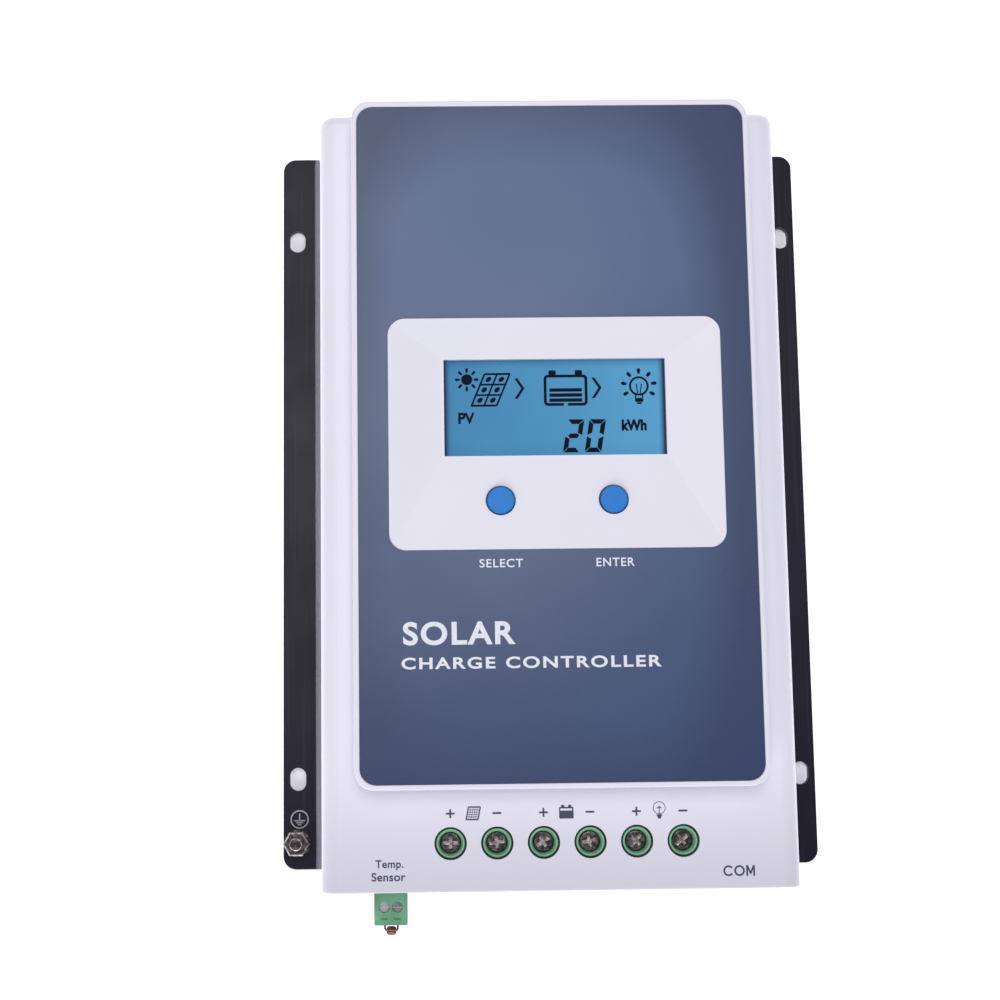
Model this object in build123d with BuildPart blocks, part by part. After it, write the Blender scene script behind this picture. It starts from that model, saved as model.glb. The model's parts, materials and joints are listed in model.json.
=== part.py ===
from build123d import *
import math
import os

# Wall-mounted solar charge controller, lying on its back, in millimetres.
# X runs across the unit, +Y points from the wire terminals to the far end and +Z points
# away from the wall. The origin is on the wall plane, under the middle of the housing.

os.makedirs("parts", exist_ok=True)

# ---------------------------------------------------------------- driving dimensions

HOUSING_LENGTH = 228.0
HOUSING_HEIGHT = 55.0
SHOULDER_Z = 44.0
PLATEAU_Z = 54.5
WALL = 2.5

# Heat sink extrusion with its two mounting flanges.
FLANGE_HALF = 82.0
FLANGE_THICKNESS = 2.5
SINK_LENGTH = 224.4
SINK_CENTRE_Y = 1.4
SINK_SOUTH = SINK_CENTRE_Y - SINK_LENGTH / 2
SINK_WALL_HALF = 67.5
SINK_WALL = 3.0
DECK_TOP = 15.0
DECK_BOTTOM = 11.5
FIN_COUNT = 13
FIN_PITCH = 9.35
FIN_THICKNESS = 2.0
FLANGE_CORNER = 4.0
FLANGE_ROUNDING = 0.4

# Mounting slots, two on each flange.
SLOT_X = 77.5
SLOT_SPACING = 170.0
SLOT_WIDTH = 5.0
SLOT_LENGTH = 7.0

# Front cover section: leaning side walls that round over to the flat shoulders.
BASE_HALF = 72.0
BROW_HALF = 67.6
SKIRT_Z = 2.8
SHOULDER_RADIUS = 5.0
NEAR_ROUNDING = 0.6
FAR_ROUNDING = 3.6
END_WALL_FOOT = DECK_TOP + 0.2
LEAN = (BASE_HALF - BROW_HALF) / (SHOULDER_Z - SKIRT_Z)

# Plateau that carries the front label.
PLATEAU_ROOT = SHOULDER_Z - 4.0
PLATEAU_HALF = 59.0
PLATEAU_SOUTH = -86.0
PLATEAU_TAPER = 3.8
PLATEAU_CORNER = 6.4
PLATEAU_OVERRUN = 1.1
LABEL_HALF = 56.6
LABEL_SOUTH = -83.6
LABEL_NORTH = 112.1
LABEL_CORNER = 4.7
LABEL_RECESS = 0.3
LABEL_THICKNESS = 0.2
LABEL_FLOOR = PLATEAU_Z - LABEL_RECESS
ROOF_Z = PLATEAU_Z - 2.6

# Display bezel, its screen window and the two button holes.
BEZEL_HALF = 47.8
BEZEL_SOUTH = -18.2
BEZEL_NORTH = 48.6
BEZEL_CORNER = 4.8
BEZEL_RIM = 0.5
BEZEL_MIDDLE = (BEZEL_SOUTH + BEZEL_NORTH) / 2
BEZEL_LENGTH = BEZEL_NORTH - BEZEL_SOUTH
WINDOW_HALF = 31.9
WINDOW_SOUTH = 8.75
WINDOW_NORTH = 36.85
WINDOW_MIDDLE = (WINDOW_SOUTH + WINDOW_NORTH) / 2
WINDOW_LENGTH = WINDOW_NORTH - WINDOW_SOUTH
LIP = 0.8
LIP_Z = 53.2
BUTTON_X = 16.1
BUTTON_Y = -4.2
BUTTON_RADIUS = 4.05
BUTTON_GAP = 0.22
BUTTON_TRAVEL = 0.5

# Boards.
BOARD_BOTTOM = 20.5
BOARD_TOP = 22.1
BOARD_HALF = 60.0
BOARD_SOUTH = -111.2
BOARD_NORTH = 108.0
SCREEN_BOARD_BOTTOM = 44.5
SCREEN_BOARD_TOP = 46.1
SCREEN_BOARD_HALF = 47.0

# Wire terminals: six equal poles, in pairs for panel, battery and load.
POLE_PITCH = 13.2
ROW_CENTRE_X = 1.6
POLE_X = [ROW_CENTRE_X + POLE_PITCH * (i - 2.5) for i in range(6)]
POLE_Y = -100.5
BLOCK_SOUTH = -112.5
BLOCK_STEP_Y = -107.5
BLOCK_NORTH = -92.0
BLOCK_STEP_Z = 35.5
BLOCK_TOP = 40.0
COLLAR_RADIUS = 4.2
COLLAR_GAP = 0.4
COLLAR_MOUTH = 3.55
COLLAR_BORE = 3.0
COLLAR_TOP = 43.3
ENTRY_HALF = 3.8
ENTRY_FLOOR = 24.8
BAR_BOTTOM = 30.3
BAR_TOP = 31.8
BAR_HALF = 3.6
CHAMBER_HALF = 4.9
CHAMBER_REACH = 4.4
CHAMBER_TOP = 38.2
LEDGE_TOP = 39.0
CAGE_HALF = 4.7
CAGE_REACH = 4.2
CAGE_BOTTOM = 23.4
CAGE_TOP = 33.8
CLAMP_SCREW_RADIUS = 2.0
CLAMP_HEAD_HEIGHT = 1.7
CLAMP_CROSS = (4.4, 1.0, 1.1)
CLAMP_TURNS = {"pv": (0, 8), "battery": (32, 12), "load": (48, 38)}
THREAD_CLEAR = 0.05
TAIL_SOUTH = -95.0
TAIL_NORTH = -94.0
TAIL_HALF = 1.5
TAIL_GAP = 0.1

# Sockets in the terminal end.
COM_X = 51.0
COM_HALF = 8.0
COM_SOUTH = -113.2
COM_NORTH = -92.2
COM_TOP = 35.6
SENSOR_X = -48.7
SENSOR_PITCH = 3.81
SENSOR_PINS = [SENSOR_X - SENSOR_PITCH / 2, SENSOR_X + SENSOR_PITCH / 2]
SENSOR_PIN_Z = 26.1
SOCKET_HALF = 5.9
SOCKET_SOUTH = -113.0
SOCKET_NORTH = -103.4
SOCKET_TOP = 30.2
WINDOW_CLEAR = 0.3

# Sensor plug, seated in its socket.
PLUG_HALF = 4.8
PLUG_FACE = -114.3
PLUG_OUTER = -124.3
PLUG_BOTTOM = 21.0
PLUG_TOP = 31.4
PLUG_SCREW_Y = -119.2
PLUG_SCREW_RADIUS = 1.0
PLUG_WIRE_Z = 24.5
PLUG_CHAMBER_SOUTH = -121.7
PLUG_CHAMBER_NORTH = -116.7
PLUG_SLEEVE_SOUTH = -112.7
PLUG_LEAD_END = -118.2

# Fasteners: M3 screws for the casing and the boards, M4 for the ground stud.
M3_RADIUS = 1.5
M3_TAPPED = 1.52
M3_HOLE = 1.7
M3_HEAD = 2.8
M3_CROSS = (3.2, 0.8, 1.2)
COVER_SCREWS = [(sx * 61.2, y) for sx in (-1, 1) for y in (-88.0, 96.0)]
STANDOFFS = [(sx * 52.0, y) for sx in (-1, 1) for y in (-80.0, 10.0, 102.0)]
SCREEN_SCREWS = [(sx * 43.5, y) for sx in (-1, 1) for y in (-13.0, 44.0)]
GROUND_STUD = (-SLOT_X - 0.3, -102.9)
GROUND_STUD_RADIUS = 2.0

# Power parts.
MOSFET_X = [-36.0, -12.0, 12.0, 36.0]
MOSFET_Y = 62.0
MOSFET_LEAD_PITCH = 2.54
MOSFET_HOLE_Y = MOSFET_Y + 12.5
INDUCTOR = (-30.0, 88.0)
INPUT_CAPACITORS = [(4.0, 92.0), (21.5, 92.0), (39.0, 92.0)]
OUTPUT_CAPACITORS = [(8.0, -72.0), (23.0, -72.0), (38.0, -72.0)]
FUSES = [(-34.0, -74.0), (-12.0, -74.0)]
CHIP = (20.0, 14.0)
RIBBON_X = -24.0
RIBBON_SOUTH = -28.0
RIBBON_NORTH = 2.0


# ------------------------------------------------------------------- shape helpers

def block(x0, x1, y0, y1, z0, z1, mode=Mode.ADD):
    """A box between three pairs of faces, in the part being built."""
    with Locations(((x0 + x1) / 2, (y0 + y1) / 2, (z0 + z1) / 2)):
        Box(x1 - x0, y1 - y0, z1 - z0, mode=mode)


def rod(x, y, z0, z1, radius, mode=Mode.ADD):
    """An upright cylinder, in the part being built."""
    with Locations((x, y, (z0 + z1) / 2)):
        Cylinder(radius, z1 - z0, mode=mode)


def rod_y(x, z, y0, y1, radius, mode=Mode.ADD):
    """A cylinder along Y, in the part being built."""
    with Locations((x, (y0 + y1) / 2, z)):
        Cylinder(radius, y1 - y0, rotation=(90, 0, 0), mode=mode)


def drive_cross(x, y, top, length, width, depth, turn=0):
    """Cuts a cross recess with one long arm, turned about Z, into the top of a screw head."""
    with Locations(Location((x, y, top - depth / 2), (0, 0, turn))):
        for along, across in ((length, width), (width, length * 0.72)):
            Box(along, across, depth, mode=Mode.SUBTRACT)


def save(piece, node):
    """Labels a finished sub-part with its node name and writes it."""
    piece.part.label = node
    export_step(piece.part, f"parts/{node}.step")


def cover_inner_half(z):
    """Half the clear width inside the cover at height z."""
    return BASE_HALF - WALL - LEAN * (z - SKIRT_Z)


# ------------------------------------------------------------------------ heat sink

with BuildPart() as heat_sink:
    with BuildSketch(Plane.XZ.offset(-SINK_SOUTH - SINK_LENGTH)):
        with Locations((0, FLANGE_THICKNESS / 2)):
            Rectangle(2 * FLANGE_HALF, FLANGE_THICKNESS)
            Rectangle(2 * (SINK_WALL_HALF - SINK_WALL), FLANGE_THICKNESS, mode=Mode.SUBTRACT)
        for side in (-1, 1):
            with Locations((side * (SINK_WALL_HALF - SINK_WALL / 2), DECK_TOP / 2)):
                Rectangle(SINK_WALL, DECK_TOP)
        with Locations((0, (DECK_BOTTOM + DECK_TOP) / 2)):
            Rectangle(2 * SINK_WALL_HALF, DECK_TOP - DECK_BOTTOM)
        with Locations((0, DECK_BOTTOM / 2)):
            with GridLocations(FIN_PITCH, 1, FIN_COUNT, 1):
                Rectangle(FIN_THICKNESS, DECK_BOTTOM)
    extrude(amount=SINK_LENGTH)
    upright = heat_sink.edges().filter_by(Axis.Z).group_by(Axis.X)
    fillet(upright[0] + upright[-1], FLANGE_CORNER)
    rims = heat_sink.edges().filter_by(Axis.Y).filter_by_position(Axis.Z, 2.4, 2.6)
    fillet(rims.group_by(Axis.X)[0] + rims.group_by(Axis.X)[-1], FLANGE_ROUNDING)
    with BuildSketch():
        with Locations((0, SINK_CENTRE_Y)):
            with GridLocations(2 * SLOT_X, SLOT_SPACING, 2, 2):
                SlotOverall(SLOT_LENGTH, SLOT_WIDTH, rotation=90)
    extrude(amount=FLANGE_THICKNESS, mode=Mode.SUBTRACT)
    rod(*GROUND_STUD, 0, FLANGE_THICKNESS, GROUND_STUD_RADIUS, Mode.SUBTRACT)
    for x, y in COVER_SCREWS:
        rod(x, y, DECK_BOTTOM, DECK_TOP, M3_HOLE, Mode.SUBTRACT)
    for x, y in STANDOFFS:
        rod(x, y, DECK_BOTTOM + 0.5, DECK_TOP, M3_TAPPED, Mode.SUBTRACT)
    for x in MOSFET_X:
        rod(x, MOSFET_HOLE_Y, DECK_BOTTOM + 0.5, DECK_TOP, M3_TAPPED, Mode.SUBTRACT)
save(heat_sink, "heat_sink")


# --------------------------------------------------------------------- front cover

with BuildPart() as front_cover:
    with BuildSketch(Plane.XZ) as outer_section:
        with BuildLine():
            Polyline(
                (-BASE_HALF, SKIRT_Z),
                (BASE_HALF, SKIRT_Z),
                (BROW_HALF, SHOULDER_Z),
                (-BROW_HALF, SHOULDER_Z),
                close=True,
            )
        make_face()
        fillet(outer_section.vertices().group_by(Axis.Y)[-1], SHOULDER_RADIUS)
    extrude(amount=HOUSING_LENGTH / 2, both=True)
    for place, rounding in ((0, NEAR_ROUNDING), (-1, FAR_ROUNDING)):
        top_edges = front_cover.edges().filter_by(Axis.X).group_by(Axis.Z)[-1]
        fillet(top_edges.sort_by(Axis.Y)[place], rounding)

    # The plateau's far end is cut flush with the housing's end.
    with BuildSketch(Plane.XY.offset(PLATEAU_ROOT)):
        length = HOUSING_LENGTH / 2 + PLATEAU_OVERRUN - PLATEAU_SOUTH
        with Locations((0, PLATEAU_SOUTH + length / 2)):
            RectangleRounded(2 * PLATEAU_HALF, length, PLATEAU_CORNER)
    extrude(amount=PLATEAU_Z - PLATEAU_ROOT, taper=PLATEAU_TAPER)
    block(-80, 80, HOUSING_LENGTH / 2, HOUSING_LENGTH / 2 + 5, 30, 60, Mode.SUBTRACT)
    crown = front_cover.faces().sort_by(Axis.Z)[-1]
    fillet(crown.edges(), 0.6)

    # The cavity under the shoulders, open below, and the cavity under the plateau.
    with BuildSketch(Plane.XZ) as inner_section:
        with BuildLine():
            Polyline(
                (-cover_inner_half(SKIRT_Z), SKIRT_Z),
                (cover_inner_half(SKIRT_Z), SKIRT_Z),
                (cover_inner_half(SHOULDER_Z - WALL), SHOULDER_Z - WALL),
                (-cover_inner_half(SHOULDER_Z - WALL), SHOULDER_Z - WALL),
                close=True,
            )
        make_face()
        fillet(inner_section.vertices().group_by(Axis.Y)[-1], SHOULDER_RADIUS - WALL)
    extrude(amount=HOUSING_LENGTH / 2 - WALL, both=True, mode=Mode.SUBTRACT)
    with BuildSketch(Plane.XZ):
        with BuildLine():
            Polyline(
                (-cover_inner_half(SKIRT_Z), SKIRT_Z),
                (cover_inner_half(SKIRT_Z), SKIRT_Z),
                (cover_inner_half(END_WALL_FOOT), END_WALL_FOOT),
                (-cover_inner_half(END_WALL_FOOT), END_WALL_FOOT),
                close=True,
            )
        make_face()
    extrude(amount=HOUSING_LENGTH / 2, both=True, mode=Mode.SUBTRACT)
    inside = PLATEAU_HALF - WALL
    block(
        -inside, inside, PLATEAU_SOUTH + WALL, HOUSING_LENGTH / 2 - WALL,
        SHOULDER_Z - WALL - 1, ROOF_Z, Mode.SUBTRACT,
    )

    # A shallow recess takes the label, and the display bezel stands up through it.
    with BuildSketch(Plane.XY.offset(LABEL_FLOOR)):
        with Locations((0, (LABEL_SOUTH + LABEL_NORTH) / 2)):
            RectangleRounded(
                2 * LABEL_HALF + 0.2, LABEL_NORTH - LABEL_SOUTH + 0.2, LABEL_CORNER
            )
    extrude(amount=1, mode=Mode.SUBTRACT)
    with BuildSketch(Plane.XY.offset(LABEL_FLOOR - 0.5)):
        with Locations((0, BEZEL_MIDDLE)):
            RectangleRounded(2 * BEZEL_HALF, BEZEL_LENGTH, BEZEL_CORNER)
    extrude(amount=HOUSING_HEIGHT - LABEL_FLOOR + 0.5)

    # Four facets fall from the bezel's rim to the lip of the screen window.
    with BuildSketch(Plane.XY.offset(LIP_Z)):
        with Locations((0, WINDOW_MIDDLE)):
            Rectangle(2 * (WINDOW_HALF + LIP), WINDOW_LENGTH + 2 * LIP)
    with BuildSketch(Plane.XY.offset(HOUSING_HEIGHT)):
        with Locations((0, BEZEL_MIDDLE)):
            Rectangle(2 * (BEZEL_HALF - BEZEL_RIM), BEZEL_LENGTH - 2 * BEZEL_RIM)
    loft(mode=Mode.SUBTRACT)
    block(
        -WINDOW_HALF, WINDOW_HALF, WINDOW_SOUTH, WINDOW_NORTH,
        ROOF_Z - 1, HOUSING_HEIGHT + 1, Mode.SUBTRACT,
    )
    for side in (-1, 1):
        rod(
            side * BUTTON_X, BUTTON_Y, ROOF_Z - 1, HOUSING_HEIGHT + 1,
            BUTTON_RADIUS + BUTTON_GAP, Mode.SUBTRACT,
        )

    # Bosses for the screws from the back and for the display board.
    for x, y in COVER_SCREWS:
        rod(x, y, END_WALL_FOOT, SHOULDER_Z - 1, 3.4)
        rod(x, y, END_WALL_FOOT, 30, M3_TAPPED, Mode.SUBTRACT)
    for x, y in SCREEN_SCREWS:
        rod(x, y, SCREEN_BOARD_TOP, ROOF_Z + 0.5, 2.6)
        rod(x, y, SCREEN_BOARD_TOP, ROOF_Z - 1, 1.12, Mode.SUBTRACT)

    # Holes over the terminal screws, and windows for the terminals and both sockets.
    for x in POLE_X:
        rod(
            x, POLE_Y, SHOULDER_Z - WALL - 1, SHOULDER_Z + 1,
            COLLAR_RADIUS + COLLAR_GAP, Mode.SUBTRACT,
        )
    windows = [
        (POLE_X[0] - POLE_PITCH / 2, POLE_X[-1] + POLE_PITCH / 2, BLOCK_STEP_Z),
        (COM_X - COM_HALF, COM_X + COM_HALF, COM_TOP),
        (SENSOR_X - SOCKET_HALF, SENSOR_X + SOCKET_HALF, SOCKET_TOP),
    ]
    for x0, x1, top in windows:
        block(
            x0 - WINDOW_CLEAR, x1 + WINDOW_CLEAR,
            -HOUSING_LENGTH / 2 - 1, -HOUSING_LENGTH / 2 + WALL + 1,
            BOARD_TOP - WINDOW_CLEAR, top + WINDOW_CLEAR, Mode.SUBTRACT,
        )
save(front_cover, "front_cover")

with BuildPart() as front_label:
    with BuildSketch(Plane.XY.offset(LABEL_FLOOR)):
        with Locations((0, (LABEL_SOUTH + LABEL_NORTH) / 2)):
            RectangleRounded(2 * LABEL_HALF, LABEL_NORTH - LABEL_SOUTH, LABEL_CORNER)
        with Locations((0, BEZEL_MIDDLE)):
            RectangleRounded(
                2 * BEZEL_HALF + 0.2, BEZEL_LENGTH + 0.2, BEZEL_CORNER, mode=Mode.SUBTRACT
            )
    extrude(amount=LABEL_THICKNESS)
save(front_label, "front_label")

with BuildPart() as cover_screws:
    for x, y in COVER_SCREWS:
        rod(x, y, DECK_BOTTOM - 2.2, DECK_BOTTOM, M3_HEAD)
        rod(x, y, DECK_BOTTOM, 28, M3_RADIUS)
    heads = cover_screws.edges().filter_by(GeomType.CIRCLE).group_by(Axis.Z)[0]
    fillet(heads, 0.8)
    for x, y in COVER_SCREWS:
        drive_cross(x, y, DECK_BOTTOM - 1.0, *M3_CROSS)
save(cover_screws, "cover_screws")


# ------------------------------------------------------------------------- display

MODULE_HALF = 37.0
MODULE_SOUTH = 3.4
MODULE_NORTH = 42.8
FRAME_WALL = 1.4
BACKLIGHT_TOP = 49.3
GLASS_TOP = 51.5

with BuildPart() as display_board:
    block(
        -SCREEN_BOARD_HALF, SCREEN_BOARD_HALF, -16.5, 47.5,
        SCREEN_BOARD_BOTTOM, SCREEN_BOARD_TOP,
    )
    corners = display_board.edges().filter_by(Axis.Z)
    fillet(corners, 2)
    for x, y in SCREEN_SCREWS:
        rod(x, y, SCREEN_BOARD_BOTTOM, SCREEN_BOARD_TOP, 1.2, Mode.SUBTRACT)
save(display_board, "display_board")

with BuildPart() as display_board_screws:
    for x, y in SCREEN_SCREWS:
        rod(x, y, SCREEN_BOARD_BOTTOM - 1.6, SCREEN_BOARD_BOTTOM, 2.1)
        rod(x, y, SCREEN_BOARD_BOTTOM, ROOF_Z - 1.5, 1.1)
    for x, y in SCREEN_SCREWS:
        drive_cross(x, y, SCREEN_BOARD_BOTTOM - 0.7, 2.4, 0.6, 0.9)
save(display_board_screws, "display_board_screws")

with BuildPart() as lcd_backlight:
    block(
        -MODULE_HALF, MODULE_HALF, MODULE_SOUTH, MODULE_NORTH,
        SCREEN_BOARD_TOP, BACKLIGHT_TOP,
    )
save(lcd_backlight, "lcd_backlight")

with BuildPart() as lcd_glass:
    block(
        -MODULE_HALF, MODULE_HALF, MODULE_SOUTH, MODULE_NORTH,
        BACKLIGHT_TOP, GLASS_TOP,
    )
    block(
        -MODULE_HALF, MODULE_HALF, MODULE_SOUTH, MODULE_SOUTH + 2.5,
        BACKLIGHT_TOP + 1.1, GLASS_TOP, Mode.SUBTRACT,
    )
save(lcd_glass, "lcd_glass")

with BuildPart() as lcd_frame:
    block(
        -MODULE_HALF - FRAME_WALL, MODULE_HALF + FRAME_WALL,
        MODULE_SOUTH - FRAME_WALL, MODULE_NORTH + FRAME_WALL,
        SCREEN_BOARD_TOP, GLASS_TOP + 0.35,
    )
    block(
        -MODULE_HALF, MODULE_HALF, MODULE_SOUTH, MODULE_NORTH,
        SCREEN_BOARD_TOP, GLASS_TOP, Mode.SUBTRACT,
    )
    block(
        -MODULE_HALF + 1.5, MODULE_HALF - 1.5, MODULE_SOUTH + 3, MODULE_NORTH - 1.5,
        GLASS_TOP - 1, GLASS_TOP + 1, Mode.SUBTRACT,
    )
save(lcd_frame, "lcd_frame")

SWITCH_TOP = 49.6
SWITCH_FLOOR = SCREEN_BOARD_TOP + 0.5
CAP_BOTTOM = SWITCH_TOP + BUTTON_TRAVEL + 0.2
CAP_TOP = 54.9
CAP_RIM_HEIGHT = 1.2
PLUNGER_RADIUS = 1.74

with BuildPart() as tact_switches:
    for side in (-1, 1):
        x = side * BUTTON_X
        block(x - 3, x + 3, BUTTON_Y - 3, BUTTON_Y + 3, SCREEN_BOARD_TOP, SWITCH_TOP)
        rod(x, BUTTON_Y, SWITCH_FLOOR, SWITCH_TOP, PLUNGER_RADIUS + 0.06, Mode.SUBTRACT)
save(tact_switches, "tact_switches")

for node, side in (("select", -1), ("enter", 1)):
    with BuildPart() as button_cap:
        rod(side * BUTTON_X, BUTTON_Y, CAP_BOTTOM, CAP_TOP, BUTTON_RADIUS)
        rod(side * BUTTON_X, BUTTON_Y, CAP_BOTTOM, CAP_BOTTOM + CAP_RIM_HEIGHT, BUTTON_RADIUS + 1)
        top_edge = button_cap.edges().filter_by(GeomType.CIRCLE).group_by(Axis.Z)[-1]
        fillet(top_edge, 0.6)
    save(button_cap, f"{node}_button")

    with BuildPart() as plunger:
        foot = SWITCH_FLOOR + BUTTON_TRAVEL + 0.7
        rod(side * BUTTON_X, BUTTON_Y, foot, CAP_BOTTOM, PLUNGER_RADIUS)
    save(plunger, f"{node}_plunger")


# ---------------------------------------------------------------------- main board

with BuildPart() as main_board:
    with BuildSketch(Plane.XY.offset(BOARD_BOTTOM)):
        with Locations((0, (BOARD_SOUTH + BOARD_NORTH) / 2)):
            Rectangle(2 * BOARD_HALF, BOARD_NORTH - BOARD_SOUTH)
        with Locations(*COVER_SCREWS):
            Circle(4.2, mode=Mode.SUBTRACT)
        with Locations(*STANDOFFS):
            Circle(1.6, mode=Mode.SUBTRACT)
        for x in POLE_X:
            with Locations((x, (TAIL_SOUTH + TAIL_NORTH) / 2)):
                tail = TAIL_NORTH - TAIL_SOUTH
                Rectangle(2 * (TAIL_HALF + TAIL_GAP), tail + 2 * TAIL_GAP, mode=Mode.SUBTRACT)
        for x in SENSOR_PINS:
            with Locations((x, SOCKET_NORTH + 0.7)):
                Rectangle(1.1, 1.1, mode=Mode.SUBTRACT)
        for x in MOSFET_X:
            with Locations((x, MOSFET_Y - 3.4)):
                with GridLocations(MOSFET_LEAD_PITCH, 1, 3, 1):
                    Circle(0.7, mode=Mode.SUBTRACT)
            with Locations((x, MOSFET_HOLE_Y)):
                Circle(3.2, mode=Mode.SUBTRACT)
    extrude(amount=BOARD_TOP - BOARD_BOTTOM)
save(main_board, "main_board")

with BuildPart() as board_standoffs:
    for x, y in STANDOFFS:
        with BuildSketch(Plane.XY.offset(DECK_TOP)):
            with Locations((x, y)):
                RegularPolygon(2.75, 6, major_radius=False)
        extrude(amount=BOARD_BOTTOM - DECK_TOP)
        rod(x, y, DECK_BOTTOM + 0.8, DECK_TOP, M3_RADIUS)
        rod(x, y, DECK_TOP + 0.8, BOARD_BOTTOM, M3_TAPPED, Mode.SUBTRACT)
save(board_standoffs, "board_standoffs")

with BuildPart() as main_board_screws:
    for x, y in STANDOFFS:
        rod(x, y, BOARD_TOP, BOARD_TOP + 2.1, M3_HEAD)
        rod(x, y, DECK_TOP + 1.2, BOARD_TOP, M3_RADIUS)
    heads = main_board_screws.edges().filter_by(GeomType.CIRCLE).group_by(Axis.Z)[-1]
    fillet(heads, 0.8)
    for x, y in STANDOFFS:
        drive_cross(x, y, BOARD_TOP + 2.1, *M3_CROSS)
save(main_board_screws, "main_board_screws")


# ------------------------------------------------------------------ wire terminals

for index, circuit in enumerate(("pv", "battery", "load")):
    poles = POLE_X[2 * index:2 * index + 2]
    middle = sum(poles) / 2
    with BuildPart() as terminal_block:
        with BuildSketch(Plane.YZ.offset(middle)):
            with BuildLine():
                Polyline(
                    (BLOCK_SOUTH, BOARD_TOP),
                    (BLOCK_SOUTH, BLOCK_STEP_Z),
                    (BLOCK_STEP_Y, BLOCK_STEP_Z),
                    (BLOCK_STEP_Y, BLOCK_TOP),
                    (BLOCK_NORTH, BLOCK_TOP),
                    (BLOCK_NORTH, BOARD_TOP),
                    close=True,
                )
            make_face()
        extrude(amount=POLE_PITCH - 0.05, both=True)
        for x in poles:
            rod(x, POLE_Y, BLOCK_TOP, COLLAR_TOP, COLLAR_RADIUS)
        collars = terminal_block.edges().filter_by(GeomType.CIRCLE).group_by(Axis.Z)[-1]
        fillet(collars, 0.4)
        for x in poles:
            rod(x, POLE_Y, LEDGE_TOP, COLLAR_TOP, COLLAR_BORE, Mode.SUBTRACT)
            mouth_bottom = LEDGE_TOP + CLAMP_HEAD_HEIGHT
            with Locations((x, POLE_Y, (mouth_bottom + COLLAR_TOP) / 2)):
                Cone(COLLAR_BORE, COLLAR_MOUTH, COLLAR_TOP - mouth_bottom, mode=Mode.SUBTRACT)
            rod(x, POLE_Y, CHAMBER_TOP, LEDGE_TOP, CLAMP_SCREW_RADIUS + 0.2, Mode.SUBTRACT)
            block(
                x - CHAMBER_HALF, x + CHAMBER_HALF,
                POLE_Y - CHAMBER_REACH, POLE_Y + CHAMBER_REACH,
                CAGE_BOTTOM - 0.2, CHAMBER_TOP, Mode.SUBTRACT,
            )
            block(
                x - ENTRY_HALF, x + ENTRY_HALF, BLOCK_SOUTH, POLE_Y - CHAMBER_REACH,
                ENTRY_FLOOR, BAR_BOTTOM, Mode.SUBTRACT,
            )
            block(
                x - BAR_HALF - TAIL_GAP, x + BAR_HALF + TAIL_GAP,
                POLE_Y + CHAMBER_REACH, TAIL_NORTH + TAIL_GAP,
                BAR_BOTTOM - TAIL_GAP, BAR_TOP + TAIL_GAP, Mode.SUBTRACT,
            )
            block(
                x - TAIL_HALF - TAIL_GAP, x + TAIL_HALF + TAIL_GAP,
                TAIL_SOUTH - TAIL_GAP, TAIL_NORTH + TAIL_GAP,
                BOARD_TOP, BAR_TOP, Mode.SUBTRACT,
            )
    save(terminal_block, f"{circuit}_terminal_block")

    for pole, x, turn in zip(("plus", "minus"), poles, CLAMP_TURNS[circuit]):
        with BuildPart() as clamp_cage:
            block(
                x - CAGE_HALF, x + CAGE_HALF, POLE_Y - CAGE_REACH, POLE_Y + CAGE_REACH,
                CAGE_BOTTOM, CAGE_TOP,
            )
            block(
                x - ENTRY_HALF, x + ENTRY_HALF, POLE_Y - 5, POLE_Y + 5,
                ENTRY_FLOOR, BAR_TOP + 0.2, Mode.SUBTRACT,
            )
            rod(
                x, POLE_Y, BAR_TOP, CAGE_TOP,
                CLAMP_SCREW_RADIUS + THREAD_CLEAR, Mode.SUBTRACT,
            )
        save(clamp_cage, f"{circuit}_{pole}_clamp_cage")

        with BuildPart() as clamp_screw:
            rod(x, POLE_Y, BAR_TOP + 0.1, LEDGE_TOP, CLAMP_SCREW_RADIUS)
            head_top = LEDGE_TOP + CLAMP_HEAD_HEIGHT
            rod(x, POLE_Y, LEDGE_TOP, head_top, COLLAR_BORE - 0.15)
            rim = clamp_screw.edges().filter_by(GeomType.CIRCLE).group_by(Axis.Z)[-1]
            fillet(rim, 0.4)
            drive_cross(x, POLE_Y, head_top, *CLAMP_CROSS, turn)
        save(clamp_screw, f"{circuit}_{pole}_screw")

with BuildPart() as current_bars:
    for x in POLE_X:
        block(x - BAR_HALF, x + BAR_HALF, POLE_Y - CAGE_REACH, TAIL_NORTH, BAR_BOTTOM, BAR_TOP)
        block(
            x - TAIL_HALF, x + TAIL_HALF, TAIL_SOUTH, TAIL_NORTH,
            BOARD_BOTTOM - 0.8, BAR_TOP,
        )
save(current_bars, "terminal_current_bars")


# ------------------------------------------------------------ data socket and sensor

COM_CAVITY_FLOOR = 24.2
COM_CAVITY_TOP = 31.0
COM_CAVITY_NORTH = -100.7
COM_CONTACTS = 8
COM_CONTACT_PITCH = 1.02

with BuildPart() as com_jack:
    block(COM_X - COM_HALF, COM_X + COM_HALF, COM_SOUTH, COM_NORTH, BOARD_TOP, COM_TOP)
    for half, floor, top in (
        (5.95, COM_CAVITY_FLOOR, COM_CAVITY_TOP),
        (3.2, COM_CAVITY_TOP, 32.8),
        (2.0, 32.8, 34.0),
    ):
        block(COM_X - half, COM_X + half, COM_SOUTH, COM_CAVITY_NORTH, floor, top, Mode.SUBTRACT)
save(com_jack, "com_jack")

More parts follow.
